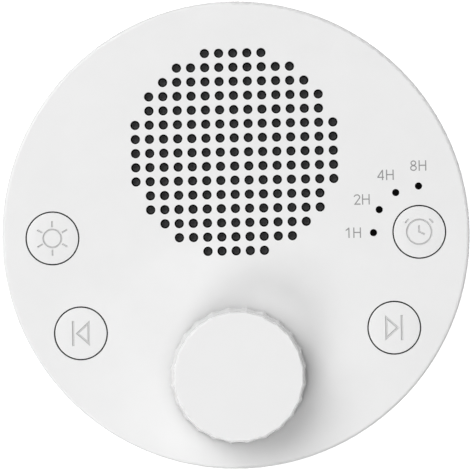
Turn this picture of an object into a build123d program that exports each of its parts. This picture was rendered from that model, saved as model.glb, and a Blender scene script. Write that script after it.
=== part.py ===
from build123d import *
from math import atan2, ceil, cos, degrees, hypot, radians, sin, sqrt
import os

# A white noise sound machine: a flat round drum that lies on a table, face up.
# Millimetres. Origin at the centre of the foot's underside, +X right, +Y away, +Z up.

# --- Drum ---------------------------------------------------------------------------------
body_diameter = 110.0
body_height = 50.0
wall = 2.2
face_thickness = 2.2
face_edge_radius = 0.8
housing_draft = 1.2
fit_gap = 0.1

# --- Foot, base shell and light ring ------------------------------------------------------
foot_thickness = 2.0
foot_recess = 0.8
foot_width = 7.0
foot_margin = 2.3
base_floor = 2.4
base_top = 8.0
base_inset = 3.5
base_edge_radius = 1.4
light_ring_height = 6.0
lip_height = 1.5
lip_wall = 1.2

# --- Housing screws -----------------------------------------------------------------------
housing_screw_count = 4
housing_screw_inset = 10.5
housing_screw_diameter = 3.0
housing_screw_length = 20.0
housing_screw_head = 5.5
housing_screw_head_height = 2.1
housing_screw_seat = 3.0
housing_post_wall = 1.5
housing_boss_wall = 2.1
housing_boss_height = 14.0
housing_post_gap = 0.5
rib_thickness = 2.0

# --- Grille -------------------------------------------------------------------------------
grille_inset = 10.65
grille_radius = 24.8
hole_pitch = 3.32
hole_diameter = 2.2

# --- Speaker ------------------------------------------------------------------------------
mesh_thickness = 0.3
gasket_thickness = 2.5
gasket_width = 2.6
speaker_margin = 0.3
frame_thickness = 1.2
frame_wall = 1.0
frame_skirt = 4.5
frame_window_count = 6
frame_window_angle = 38.0
ear_count = 4
ear_reach = 3.4
ear_radius = 3.0
speaker_screw_diameter = 2.2
speaker_screw_head = 4.0
speaker_screw_head_height = 1.4
speaker_screw_length = 3.6
plate_radius = 18.5
plate_thickness = 3.5
magnet_radius = 20.0
magnet_bore_radius = 10.0
magnet_thickness = 7.5
yoke_thickness = 3.0
coil_radius = 6.8
coil_wall = 0.4
coil_overhang = 2.1
coil_gap = 0.4
cone_wall = 0.5
cone_bend_reach = 0.4
cone_bend_rise = 0.52
neck_rise = 3.3
surround_width = 3.2
surround_wall = 0.5
surround_rise = 2.2
surround_crown_reach = 0.25
surround_crown_rise = 0.72
spider_wall = 0.4
spider_rise = 2.2
spider_step_count = 3
dust_cap_rise = 2.4
glue_gap = 0.02
speaker_clearance = 2.5

# --- Buttons and timer lights -------------------------------------------------------------
button_inset = 11.9
button_radius = 6.1
button_gap = 0.25
button_edge_radius = 0.2
button_wall = 1.3
button_skirt = 2.5
collar_reach = 1.2
collar_thickness = 1.1
button_travel = 0.5
stem_radius = 2.2
skip_angle = 31.34
switch_size = 6.0
switch_height = 3.5
switch_well = 2.3
plunger_radius = 1.7
plunger_gap = 0.1
plunger_rise = 1.0
lens_circle = 10.77
lens_diameter = 1.6
lens_web = 2.4
lens_web_thickness = 1.4
lens_count = 4
lens_step = 30.0
lens_web_overrun = 8.0
lamp_size = 1.6
lamp_height = 0.6
lamp_gap = 0.4

# --- Knob and push encoder ----------------------------------------------------------------
knob_inset = 22.1
knob_radius = 16.1
knob_draft = 1.0
knob_height = 12.7
knob_lift = 0.8
knob_edge_radius = 0.4
knob_wall = 1.8
knob_roof = 2.3
flute_count = 24
flute_crest_radius = 0.6
flute_depth = 0.4
flute_top_depth = 0.16
knob_rib_count = 6
knob_rib_wall = 1.2
knob_rib_rise = 2.0
knob_boss_radius = 5.0
encoder_width = 12.0
encoder_height = 6.5
encoder_plate = 1.0
encoder_floor = 1.7
bush_radius = 3.5
bush_height = 5.5
washer_radius = 5.5
washer_thickness = 0.5
nut_width = 10.0
nut_height = 2.0
shaft_radius = 3.0
shaft_clearance = 0.05
shaft_flat = 1.5
shaft_height = 12.7
push_travel = 0.5
push_gap = 0.3
push_piece_height = 1.4
push_piece_gap = 0.4

# --- Main board ---------------------------------------------------------------------------
board_thickness = 1.6
board_margin = 2.6
board_brow = 4.2
board_clearance = 1.0
board_screw_diameter = 2.2
board_screw_head = 4.2
board_screw_head_height = 1.5
board_screw_length = 6.0
board_screw_angles = (15.67, 67.4)
board_boss_wall = 1.6
sound_chip_size = 7.0
amplifier_chip_size = 5.5
charger_chip_size = 4.0
chip_height = 1.2
chip_angle = 32.0
capacitor_radius = 3.15
capacitor_height = 7.7
capacitor_angle = 14.0
connector_length = 6.0
connector_width = 5.0
connector_height = 5.0
connector_angle = 58.0
horn_connector_angle = 100.5

# --- Night light, socket and cell ---------------------------------------------------------
light_board_gap = 0.55
light_board_width = 7.2
light_board_thickness = 1.2
light_board_stand = 2.0
light_post_radius = 2.4
light_screw_count = 4
small_screw_diameter = 2.0
small_screw_head = 3.8
small_screw_head_height = 1.2
small_screw_length = 4.0
night_lamp_count = 16
night_lamp_length = 3.5
night_lamp_width = 2.8
night_lamp_height = 0.8
night_lamp_margin = 0.6
cell_margin = 4.4
cell_width = 32.0
cell_thickness = 8.0
cell_corner = 2.0
cell_gap = 0.3
fence_wall = 1.2
fence_height = 5.0
pad_thickness = 0.6
pad_inset = 3.0
socket_width = 8.94
socket_height = 3.2
socket_depth = 7.4
socket_shell = 0.3
socket_back = 1.5
socket_recess = 0.6
socket_level = 22.0
socket_slot_gap = 0.2
tongue_thickness = 0.7
tongue_gap = 1.2
socket_board_width = 18.0
socket_board_depth = 10.0
socket_board_thickness = 1.2
shelf_thickness = 4.0
shelf_width = 4.0
shelf_gap = 0.5

# --- Radii and levels that follow ---------------------------------------------------------
body_radius = body_diameter / 2
side_radius = body_radius - housing_draft
under_face = body_height - face_thickness
base_bottom = foot_thickness - foot_recess
base_bottom_radius = side_radius - base_inset
floor_level = base_bottom + base_floor
ring_top = base_top + light_ring_height
foot_outer = base_bottom_radius - foot_margin
foot_inner = foot_outer - foot_width
lip_outer = side_radius - wall - fit_gap

screw_circle = body_radius - housing_screw_inset
screw_hole_radius = housing_screw_diameter / 2 + fit_gap / 2
screw_seat_level = foot_thickness + housing_screw_seat
screw_tip = screw_seat_level + housing_screw_length
post_radius = housing_screw_head / 2 + fit_gap + housing_post_wall
post_top = ring_top + lip_height + housing_post_gap
boss_radius = housing_screw_diameter / 2 + housing_boss_wall

pad_top = floor_level + pad_thickness
cell_top = pad_top + cell_thickness
fence_top = floor_level + fence_height
light_board_level = floor_level + light_board_stand
light_board_top = light_board_level + light_board_thickness
light_board_radius = screw_circle - post_radius - light_board_gap
light_board_inner = light_board_radius - light_board_width
light_screw_circle = light_board_inner + light_post_radius
night_lamp_circle = light_board_radius - night_lamp_width / 2 - night_lamp_margin
cell_length = 2 * sqrt((light_board_inner - cell_margin) ** 2 - (cell_width / 2) ** 2)
fence_length = cell_length + 2 * cell_gap
fence_width = cell_width + 2 * cell_gap

mesh_bottom = under_face - mesh_thickness
frame_face = mesh_bottom - gasket_thickness
frame_radius = grille_radius + hole_diameter / 2 + speaker_margin
frame_mouth = frame_radius - gasket_width - frame_wall
frame_back = frame_face - frame_thickness
magnet_bottom = cell_top + speaker_clearance + yoke_thickness
plate_bottom = magnet_bottom + magnet_thickness
frame_bottom = plate_bottom + plate_thickness
pole_radius = coil_radius - coil_gap
gap_radius = coil_radius + coil_wall + coil_gap
grille_offset = body_radius - grille_radius - grille_inset
ear_circle = frame_radius + ear_reach
cone_radius = frame_mouth - surround_width
surround_top = frame_face - 2 * fit_gap
cone_edge = surround_top - surround_rise
spider_low = frame_bottom + frame_wall
cone_neck = spider_low + spider_rise + spider_wall + neck_rise
cone_depth = cone_edge - cone_neck
coil_top = cone_neck + cone_wall
coil_bottom = plate_bottom - coil_overhang
speaker_screw_tip = frame_back + speaker_screw_length

button_circle = body_radius - button_inset
board_top = under_face - encoder_height
board_bottom = board_top - board_thickness
board_radius = body_radius - wall - board_margin
board_reach = lens_circle + board_brow
board_screw_tip = board_bottom + board_screw_length
switch_top = board_top + switch_height
plunger_top = switch_top + plunger_rise
button_bottom = body_height - button_skirt
collar_radius = button_radius + collar_reach

knob_offset = knob_inset - body_radius
knob_top_radius = knob_radius - knob_draft
knob_base = body_height + knob_lift
knob_top = knob_base + knob_height
bush_top = under_face + bush_height
shaft_top = under_face + shaft_height
push_piece_bottom = board_top + encoder_floor + push_travel + push_gap
shaft_bottom = push_piece_bottom + push_piece_height
knob_boss_base = bush_top + push_travel + push_gap

socket_mouth = side_radius - socket_recess
shelf_top = socket_level - socket_board_thickness
shelf_back = side_radius - wall - shelf_gap
shelf_front = shelf_back - socket_board_depth
shelf_spread = (socket_board_width - shelf_width) / 2
shelf_screw_y = shelf_front + shelf_width / 2


# --- Plain shapes -------------------------------------------------------------------------
def disc(radius, low, high, x=0.0, y=0.0):
    """Upright cylinder between two levels."""
    solid = Cylinder(radius, high - low, align=(Align.CENTER, Align.CENTER, Align.MIN))
    return Pos(x, y, low) * solid


def tube(outer, inner, low, high, x=0.0, y=0.0):
    """Upright ring between two levels."""
    return disc(outer, low, high, x, y) - disc(inner, low, high, x, y)


def block(length, width, low, high, x=0.0, y=0.0):
    """Upright box between two levels, centred on x and y."""
    solid = Box(length, width, high - low, align=(Align.CENTER, Align.CENTER, Align.MIN))
    return Pos(x, y, low) * solid


def turned(corners, x=0.0, y=0.0):
    """Solid of revolution about the upright axis at x, y, from (radius, level) corners."""
    return turned_face(Polyline(*[(radius, 0, level) for radius, level in corners], close=True), x, y)


def turned_face(edges, x=0.0, y=0.0):
    """Solid of revolution about the upright axis at x, y, from a closed outline."""
    return Pos(x, y, 0) * revolve(make_face(edges), Axis.Z)


def on_circle(radius, angle, x=0.0, y=0.0):
    """Point at an angle in degrees on a circle about x, y."""
    return x + radius * cos(radians(angle)), y + radius * sin(radians(angle))


def round_top(solid, radius):
    """Round the highest circular edge of a solid."""
    return fillet(solid.edges().filter_by(GeomType.CIRCLE).group_by(Axis.Z)[-1], radius)


def round_foot(solid, radius):
    """Round the lowest circular edge of a solid."""
    return fillet(solid.edges().filter_by(GeomType.CIRCLE).group_by(Axis.Z)[0], radius)


def rising_screw(diameter, length, head, head_height, seat, x, y):
    """Screw driven upwards: head below its seat level, shank above it."""
    return disc(head / 2, seat - head_height, seat, x, y) + disc(diameter / 2, seat, seat + length, x, y)


def sinking_screw(seat, x, y):
    """Small screw driven downwards: head above its seat level, shank below it."""
    head = disc(small_screw_head / 2, seat, seat + small_screw_head_height, x, y)
    return head + disc(small_screw_diameter / 2, seat - small_screw_length, seat, x, y)


def group(solids):
    """Separate solids that share one node."""
    return Compound(children=[part.solid() for part in solids])


# --- Places that several pieces share -----------------------------------------------------
housing_screw_angles = [
    360 / housing_screw_count * (index + 0.5) for index in range(housing_screw_count)
]
ear_angles = [360 / ear_count * (index + 0.5) for index in range(ear_count)]
ear_places = [on_circle(ear_circle, angle, 0, grille_offset) for angle in ear_angles]
button_places = {
    "light": on_circle(button_circle, 180),
    "timer": on_circle(button_circle, 0),
    "previous": on_circle(button_circle, 180 + skip_angle),
    "next": on_circle(button_circle, -skip_angle),
}
lens_angles = [90 + lens_step * index for index in range(lens_count)]
lens_places = [on_circle(lens_circle, angle, *button_places["timer"]) for angle in lens_angles]
board_screw_places = [
    on_circle(button_circle + board_boss_wall, side)
    for angle in board_screw_angles
    for side in (-angle, angle - 180)
]
light_screw_places = [
    on_circle(light_screw_circle, 360 / light_screw_count * index) for index in range(light_screw_count)
]
shelf_screw_places = [(side * shelf_spread, shelf_screw_y) for side in (-1, 1)]


def grille_places():
    """Centres of the grille holes: a square grid clipped to a circle."""
    reach = ceil(grille_radius / hole_pitch)
    steps = [step * hole_pitch for step in range(-reach, reach + 1)]
    return [(x, grille_offset + y) for y in steps for x in steps if hypot(x, y) <= grille_radius]


def socket_slot(margin, front, back):
    """Flat-sided bar through the wall at the socket, larger than the socket by a margin."""
    level = socket_level + socket_height / 2
    plane = Plane(origin=(0, front, level), x_dir=(1, 0, 0), z_dir=(0, 1, 0))
    outline = SlotOverall(socket_width + 2 * margin, socket_height + 2 * margin)
    return extrude(plane * outline, back - front)


# --- Housing, light ring, base and foot ---------------------------------------------------
def housing_boss(angle):
    """Boss for a housing screw, tied to the drum's wall by a rib."""
    reach = side_radius - wall / 2 - screw_circle
    rib = Box(reach, rib_thickness, housing_boss_height, align=(Align.MIN, Align.CENTER, Align.MIN))
    boss = disc(boss_radius, 0, housing_boss_height)
    return Rot(0, 0, angle) * Pos(screw_circle, 0, post_top) * (boss + rib)


def shelf(x):
    """Ledge in the back wall that carries one side of the socket board."""
    depth = side_radius - shelf_front
    bar = block(shelf_width, depth, shelf_top - shelf_thickness, shelf_top, x, shelf_front + depth / 2)
    return bar & disc(side_radius - wall / 2, ring_top, under_face)


def make_upper_housing():
    """Drum with its face, grille holes, button holes and the bosses inside."""
    shell = round_top(
        turned([(0, ring_top), (side_radius, ring_top), (body_radius, body_height), (0, body_height)]),
        face_edge_radius,
    )
    shell -= turned([
        (0, ring_top),
        (side_radius - wall, ring_top),
        (body_radius - wall, under_face),
        (0, under_face),
    ])
    board_boss = board_screw_diameter / 2 + board_boss_wall
    shell += [housing_boss(angle) for angle in housing_screw_angles]
    shell += [disc(board_boss, board_top, under_face, x, y) for x, y in board_screw_places]
    shell += [disc(ear_radius, frame_face, under_face, x, y) for x, y in ear_places]
    shell += [shelf(side * shelf_spread) for side in (-1, 1)]

    grille_hole = hole_diameter / 2
    button_hole = button_radius + button_gap
    lens_hole = (lens_diameter + fit_gap) / 2
    board_hole = board_screw_diameter / 2 + fit_gap / 2
    speaker_hole = speaker_screw_diameter / 2 + fit_gap / 2
    shelf_hole = small_screw_diameter / 2 + fit_gap / 2
    places = [on_circle(screw_circle, angle) for angle in housing_screw_angles]
    cuts = [disc(grille_hole, under_face, body_height, x, y) for x, y in grille_places()]
    cuts += [disc(button_hole, under_face, body_height, x, y) for x, y in button_places.values()]
    cuts += [disc(lens_hole, under_face, body_height, x, y) for x, y in lens_places]
    cuts += [disc(bush_radius + fit_gap, under_face, body_height, 0, knob_offset)]
    cuts += [disc(screw_hole_radius, post_top, screw_tip + fit_gap, x, y) for x, y in places]
    cuts += [disc(board_hole, board_top, board_screw_tip + fit_gap, x, y) for x, y in board_screw_places]
    cuts += [disc(speaker_hole, frame_face, speaker_screw_tip + fit_gap, x, y) for x, y in ear_places]
    cuts += [disc(shelf_hole, shelf_top - shelf_thickness, shelf_top, x, y) for x, y in shelf_screw_places]
    cuts += [socket_slot(socket_slot_gap, shelf_back - wall, body_radius)]
    return shell - cuts


def make_light_ring():
    """Translucent band in the drum's side, with a lip into the housing and one into the base."""
    lip_inner = lip_outer - lip_wall
    return turned([
        (lip_inner, base_top - lip_height),
        (lip_outer, base_top - lip_height),
        (lip_outer, base_top),
        (side_radius, base_top),
        (side_radius, ring_top),
        (lip_outer, ring_top),
        (lip_outer, ring_top + lip_height),
        (lip_inner, ring_top + lip_height),
    ])


def make_base_shell():
    """Dished base with screw posts, light board posts and a fence round the cell."""
    shell = round_foot(
        turned([(0, base_bottom), (base_bottom_radius, base_bottom), (side_radius, base_top), (0, base_top)]),
        base_edge_radius,
    )
    lip_seat = base_top - lip_height - fit_gap
    shell -= turned([
        (0, floor_level),
        (base_bottom_radius - base_floor, floor_level),
        (side_radius - wall, lip_seat),
        (side_radius - wall, base_top),
        (0, base_top),
    ])
    places = [on_circle(screw_circle, angle) for angle in housing_screw_angles]
    shell += [disc(post_radius, floor_level, post_top, x, y) for x, y in places]
    shell += [
        disc(light_post_radius, floor_level, light_board_level, x, y) for x, y in light_screw_places
    ]
    outer = block(fence_length + 2 * fence_wall, fence_width + 2 * fence_wall, floor_level, fence_top)
    inner = block(fence_length, fence_width, floor_level, fence_top)
    corner = fence_wall + cell_corner
    outer = fillet(outer.edges().filter_by(Axis.Z), corner)
    inner = fillet(inner.edges().filter_by(Axis.Z), cell_corner)
    shell += outer - inner

    head_hole = housing_screw_head / 2 + fit_gap
    light_hole = small_screw_diameter / 2 + fit_gap / 2
    light_tip = light_board_top - small_screw_length - fit_gap
    cuts = [tube(foot_outer + fit_gap, foot_inner - fit_gap, base_bottom, foot_thickness)]
    cuts += [disc(head_hole, foot_thickness, screw_seat_level, x, y) for x, y in places]
    cuts += [disc(screw_hole_radius, screw_seat_level, post_top, x, y) for x, y in places]
    cuts += [disc(light_hole, light_tip, light_board_level, x, y) for x, y in light_screw_places]
    return shell - cuts


def make_foot_ring():
    """Rubber ring that covers the screw heads."""
    return round_foot(tube(foot_outer, foot_inner, 0, foot_thickness), foot_recess / 2)


def make_housing_screws():
    return group([
        rising_screw(
            housing_screw_diameter,
            housing_screw_length,
            housing_screw_head,
            housing_screw_head_height,
            screw_seat_level,
            *on_circle(screw_circle, angle),
        )
        for angle in housing_screw_angles
    ])


# --- Speaker ------------------------------------------------------------------------------
def make_acoustic_mesh():
    return disc(frame_radius, mesh_bottom, under_face, 0, grille_offset)


def make_speaker_gasket():
    return tube(frame_radius, frame_radius - gasket_width, frame_face, mesh_bottom, 0, grille_offset)


def make_speaker_frame():
    """Pressed steel basket: flange with ears, skirt, windowed cone and a floor."""
    skirt_bottom = frame_face - frame_skirt
    neck = plate_radius - frame_wall
    basket = turned([
        (gap_radius, frame_bottom),
        (neck + frame_wall, frame_bottom),
        (neck + frame_wall, frame_bottom + frame_wall),
        (frame_mouth + frame_wall, skirt_bottom),
        (frame_mouth + frame_wall, frame_back),
        (frame_radius, frame_back),
        (frame_radius, frame_face),
        (frame_mouth, frame_face),
        (frame_mouth, skirt_bottom),
        (neck, frame_bottom + frame_wall),
        (gap_radius, frame_bottom + frame_wall),
    ])
    window = turned([
        (neck, frame_bottom + 3 * frame_wall),
        (frame_radius, frame_bottom + 3 * frame_wall),
        (frame_radius, skirt_bottom - frame_wall),
        (neck, skirt_bottom - frame_wall),
    ])
    wedge = wedge_of(frame_radius + 1, frame_window_angle, frame_bottom, skirt_bottom)
    window &= wedge
    step = 360 / frame_window_count
    basket -= [Rot(0, 0, step * index) * window for index in range(frame_window_count)]
    for angle in ear_angles:
        lug = disc(ear_radius, frame_back, frame_face) + Pos(-ear_reach, 0, 0) * block(
            2 * ear_reach, 2 * ear_radius, frame_back, frame_face
        )
        lug -= disc(speaker_screw_diameter / 2 + fit_gap, frame_back, frame_face)
        lug -= disc(frame_mouth + frame_wall, frame_back, frame_face, -ear_circle)
        basket += Rot(0, 0, angle) * Pos(ear_circle, 0, 0) * lug
    return Pos(0, grille_offset, 0) * basket


def wedge_of(radius, angle, low, high):
    """Upright wedge about the axis, centred on +X."""
    left = on_circle(radius, angle / 2)
    right = on_circle(radius, -angle / 2)
    outline = Polyline((0, 0), right, left, close=True)
    return Pos(0, 0, low) * extrude(make_face(outline), high - low)


def make_speaker_screws():
    return group([
        rising_screw(
            speaker_screw_diameter,
            speaker_screw_length,
            speaker_screw_head,
            speaker_screw_head_height,
            frame_back,
            x,
            y,
        )
        for x, y in ear_places
    ])


def make_top_plate():
    return tube(plate_radius, gap_radius, plate_bottom, frame_bottom, 0, grille_offset)


def make_magnet():
    return tube(magnet_radius, magnet_bore_radius, magnet_bottom, plate_bottom, 0, grille_offset)


def make_yoke():
    """Back plate with the pole that stands inside the voice coil."""
    back = disc(plate_radius, magnet_bottom - yoke_thickness, magnet_bottom, 0, grille_offset)
    return back + disc(pole_radius, magnet_bottom, frame_bottom, 0, grille_offset)


def make_voice_coil():
    outer = coil_radius + coil_wall
    return tube(outer, coil_radius, coil_bottom, coil_top, 0, grille_offset)


def make_speaker_cone():
    """Flared paper cone, from the coil's neck to the surround."""
    neck = coil_radius + coil_wall
    bend = (neck + (cone_radius - neck) * cone_bend_reach, cone_neck + cone_depth * cone_bend_rise)
    lower = ThreePointArc((neck, 0, cone_neck), (bend[0], 0, bend[1]), (cone_radius, 0, cone_edge))
    upper = ThreePointArc(
        (cone_radius, 0, cone_edge + cone_wall),
        (bend[0], 0, bend[1] + cone_wall),
        (neck, 0, cone_neck + cone_wall),
    )
    rim = Line(lower @ 1, upper @ 0)
    throat = Line(upper @ 1, lower @ 0)
    return turned_face([lower, rim, upper, throat], 0, grille_offset)


def make_dust_cap():
    """Domed cap over the coil."""
    rim = coil_radius + coil_wall
    crown = coil_top + dust_cap_rise
    outer = arch(rim, coil_top, crown)
    inner = arch(coil_radius, coil_top, crown - coil_wall)
    return turned_face(
        [
            outer,
            Line(outer @ 1, inner @ 1),
            inner,
            Line(inner @ 0, outer @ 0),
        ],
        0,
        grille_offset,
    )


def arch(radius, low, crown):
    """Arc in the upright plane from a rim to the crown on the axis."""
    rise = crown - low
    ball = (radius * radius + rise * rise) / (2 * rise)
    half = atan2(radius, ball - rise) / 2
    middle = (ball * sin(half), 0, crown - ball + ball * cos(half))
    return ThreePointArc((radius, 0, low), middle, (0, 0, crown))


def make_surround():
    """Rubber roll between the cone and the frame's mouth."""
    inner = cone_radius + glue_gap
    outer = frame_mouth
    low = cone_edge
    high = surround_top
    reach = inner + (outer - inner) * surround_crown_reach
    rise = low + (high - low) * surround_crown_rise
    top = ThreePointArc((inner, 0, low + surround_wall), (reach, 0, rise), (outer, 0, high))
    under = (reach + surround_wall, 0, rise - surround_wall)
    back = ThreePointArc((outer, 0, high - surround_wall), under, (inner + surround_wall, 0, low))
    return turned_face(
        [top, Line(top @ 1, back @ 0), back, Line(back @ 1, (inner, 0, low)), Line((inner, 0, low), top @ 0)],
        0,
        grille_offset,
    )


def make_spider():
    """Corrugated disc that centres the coil, terraced down to the frame's floor."""
    inner = coil_radius + coil_wall + glue_gap
    outer = plate_radius - 2 * frame_wall
    tread = (outer - inner) / (2 * spider_step_count)
    drop = spider_rise / spider_step_count
    upper = [(inner, spider_low + spider_rise + spider_wall)]
    for step in range(spider_step_count):
        level = spider_low + spider_rise - drop * step + spider_wall
        upper.append((inner + tread * (2 * step + 1), level))
        upper.append((inner + tread * (2 * step + 2), level - drop))
    lower = [(radius, level - spider_wall) for radius, level in reversed(upper)]
    return turned(upper + lower, 0, grille_offset)


# --- Buttons, switches and timer lights ---------------------------------------------------
def make_button(name):
    """Hollow cap with a collar that stops it under the face and a stem over its switch."""
    roof = body_height - button_wall
    collar_bottom = button_bottom - collar_thickness
    cap = turned([
        (0, plunger_top),
        (stem_radius, plunger_top),
        (stem_radius, roof),
        (button_radius - button_wall, roof),
        (button_radius - button_wall, collar_bottom),
        (collar_radius, collar_bottom),
        (collar_radius, button_bottom),
        (button_radius, button_bottom),
        (button_radius, body_height),
        (0, body_height),
    ])
    return Pos(*button_places[name], 0) * round_top(cap, button_edge_radius)


def make_plunger(name):
    low = switch_top - switch_well + button_travel + push_gap
    return disc(plunger_radius, low, plunger_top, *button_places[name])


def make_switch_bodies():
    """Four tact switch bodies, each with a well for its plunger."""
    bodies = []
    for x, y in button_places.values():
        body = block(switch_size, switch_size, board_top, switch_top, x, y)
        bodies.append(body - disc(plunger_radius + plunger_gap, switch_top - switch_well, switch_top, x, y))
    return group(bodies)


def make_timer_lens():
    """Dark light guide: four pins in the face, joined by a curved web glued under it."""
    web_inner = lens_circle - lens_web / 2
    web_low = under_face - lens_web_thickness
    web = tube(web_inner + lens_web, web_inner, web_low, under_face)
    middle = (lens_angles[0] + lens_angles[-1]) / 2
    spread = lens_angles[-1] - lens_angles[0] + 2 * lens_web_overrun
    web &= Rot(0, 0, middle) * wedge_of(4 * lens_circle, spread, web_low, under_face)
    lamp_top = board_top + lamp_height + lamp_gap
    for angle in lens_angles:
        web += disc(lens_diameter / 2, lamp_top, body_height, *on_circle(lens_circle, angle))
    return Pos(*button_places["timer"], 0) * web


def make_timer_lamps():
    return group([
        block(lamp_size, lamp_size, board_top, board_top + lamp_height, x, y) for x, y in lens_places
    ])


# --- Knob and push encoder ----------------------------------------------------------------
def d_shaft(radius, flat, low, high):
    """Upright bar of D section, its flat facing +Y."""
    bar = disc(radius, low, high)
    return bar - Pos(0, flat + radius, 0) * block(2 * radius, 2 * radius, low, high)


def fluted_outline(crest, depth):
    """Closed wave of hollow flutes and rounded crests, each arc tangent to the next."""
    step = 360 / flute_count
    root = crest - depth
    crest_circle = crest - flute_crest_radius
    reach = crest_circle * cos(radians(step / 2))
    flute_radius = (root**2 + crest_circle**2 - 2 * root * reach - flute_crest_radius**2) / (
        2 * (reach + flute_crest_radius - root)
    )
    share = flute_crest_radius / (flute_crest_radius + flute_radius)
    crest_centre = Vector(*on_circle(crest_circle, step / 2))
    joint = crest_centre + (Vector(root + flute_radius, 0) - crest_centre) * share
    joint_angle = degrees(atan2(joint.Y, joint.X))
    arcs = []
    for middle in [step * index for index in range(flute_count)]:
        start = on_circle(joint.length, middle - joint_angle)
        end = on_circle(joint.length, middle + joint_angle)
        following = on_circle(joint.length, middle + step - joint_angle)
        arcs.append(ThreePointArc(start, on_circle(root, middle), end))
        arcs.append(ThreePointArc(end, on_circle(crest, middle + step / 2), following))
    return make_face(arcs)


def make_knob():
    """Cap whose flutes fade out towards the top, with a D bored boss and ribs under its roof."""
    foot = Pos(0, 0, knob_base) * fluted_outline(knob_radius, flute_depth)
    top = Pos(0, 0, knob_top) * fluted_outline(knob_top_radius, flute_top_depth)
    knob = loft([foot, top], ruled=True)
    knob = fillet(knob.edges().group_by(Axis.Z)[-1], knob_edge_radius)
    roof = knob_top - knob_roof
    inner = knob_top_radius - knob_wall
    knob -= disc(inner, knob_base, roof)
    rib_low = knob_boss_base + knob_rib_rise
    rib = Pos(inner / 2, 0, 0) * block(inner + knob_wall, knob_rib_wall, rib_low, roof)
    knob += [Rot(0, 0, 360 / knob_rib_count * index) * rib for index in range(knob_rib_count)]
    knob += disc(knob_boss_radius, knob_boss_base, roof)
    flat = shaft_radius - shaft_flat
    knob -= d_shaft(shaft_radius + shaft_clearance, flat + shaft_clearance, knob_boss_base, shaft_top)
    return Pos(0, knob_offset, 0) * knob


def make_encoder_shaft():
    flat_from = knob_boss_base - push_gap / 2
    flat = shaft_radius - shaft_flat
    shaft = disc(shaft_radius, shaft_bottom, flat_from) + d_shaft(shaft_radius, flat, flat_from, shaft_top)
    return Pos(0, knob_offset, 0) * shaft


def make_encoder_plunger():
    return disc(shaft_radius - push_piece_gap, push_piece_bottom, shaft_bottom, 0, knob_offset)


def make_encoder_case():
    """Moulded case with the well that the shaft and the push piece work in."""
    top = under_face - encoder_plate
    case = block(encoder_width, encoder_width, board_top, top, 0, knob_offset)
    return case - disc(shaft_radius + push_piece_gap, board_top + encoder_floor, top, 0, knob_offset)


def make_encoder_bush():
    """Metal cover plate with the threaded neck that the nut clamps."""
    plate = block(encoder_width, encoder_width, under_face - encoder_plate, under_face, 0, knob_offset)
    neck = disc(bush_radius, under_face, bush_top, 0, knob_offset)
    bore = disc(shaft_radius + shaft_clearance, under_face - encoder_plate, bush_top, 0, knob_offset)
    return plate + neck - bore


def make_encoder_washer():
    top = body_height + washer_thickness
    return tube(washer_radius, bush_radius + fit_gap, body_height, top, 0, knob_offset)


def make_encoder_nut():
    low = body_height + washer_thickness
    outline = RegularPolygon(nut_width / 2, 6, major_radius=False)
    nut = Pos(0, knob_offset, low) * extrude(outline, nut_height)
    return nut - disc(bush_radius + glue_gap, low, low + nut_height, 0, knob_offset)


# --- Main board ---------------------------------------------------------------------------
def make_main_board():
    """Crescent board round the front of the speaker."""
    board = disc(board_radius, board_bottom, board_top)
    board -= disc(frame_radius + board_clearance, board_bottom, board_top, 0, grille_offset)
    brow = block(2 * board_radius, board_radius, board_bottom, board_top, 0, board_reach + board_radius / 2)
    board -= brow
    hole = board_screw_diameter / 2 + fit_gap
    return board - [disc(hole, board_bottom, board_top, x, y) for x, y in board_screw_places]


def make_board_screws():
    return group([
        rising_screw(
            board_screw_diameter,
            board_screw_length,
            board_screw_head,
            board_screw_head_height,
            board_bottom,
            x,
            y,
        )
        for x, y in board_screw_places
    ])


def under_board(solid, angle, circle=None):
    """Place a component under the board, at an angle from the knob as seen from the drum's axis."""
    return Rot(0, 0, angle - 90) * Pos(circle or -knob_offset, 0, 0) * solid


def chip(size):
    return block(size, size, board_bottom - chip_height, board_bottom)


def make_board_chips():
    """Sound processor, amplifier and charger under the board."""
    return group([
        under_board(chip(sound_chip_size), -chip_angle),
        under_board(chip(amplifier_chip_size), chip_angle),
        under_board(chip(charger_chip_size), 0, -knob_offset - 2 * capacitor_radius),
    ])


def make_board_capacitors():
    can = disc(capacitor_radius, board_bottom - capacitor_height, board_bottom)
    return group([under_board(can, side * capacitor_angle) for side in (-1, 1)])


def make_board_connectors():
    """Plug sockets for the speaker, the cell, the light board and the socket board."""
    socket = block(connector_width, connector_length, board_bottom - connector_height, board_bottom)
    places = [(side * connector_angle, -knob_offset) for side in (-1, 1)]
    places += [(side * horn_connector_angle, button_circle - connector_length / 2) for side in (-1, 1)]
    return group([under_board(socket, angle, circle) for angle, circle in places])


# --- Night light, socket and cell ---------------------------------------------------------
def make_light_board():
    board = tube(light_board_radius, light_board_inner, light_board_level, light_board_top)
    hole = small_screw_diameter / 2 + fit_gap
    return board - [disc(hole, light_board_level, light_board_top, x, y) for x, y in light_screw_places]


def make_night_lamps():
    step = 360 / night_lamp_count
    lamp = block(
        night_lamp_width,
        night_lamp_length,
        light_board_top,
        light_board_top + night_lamp_height,
        night_lamp_circle,
    )
    return group([Rot(0, 0, step * (index + 0.5)) * lamp for index in range(night_lamp_count)])


def make_light_screws():
    return group([sinking_screw(light_board_top, x, y) for x, y in light_screw_places])


def make_cell():
    cell = block(cell_length, cell_width, pad_top, cell_top)
    return fillet(cell.edges().filter_by(Axis.Z), cell_corner)


def make_cell_pad():
    return block(cell_length - 2 * pad_inset, cell_width - 2 * pad_inset, floor_level, pad_top)


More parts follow.
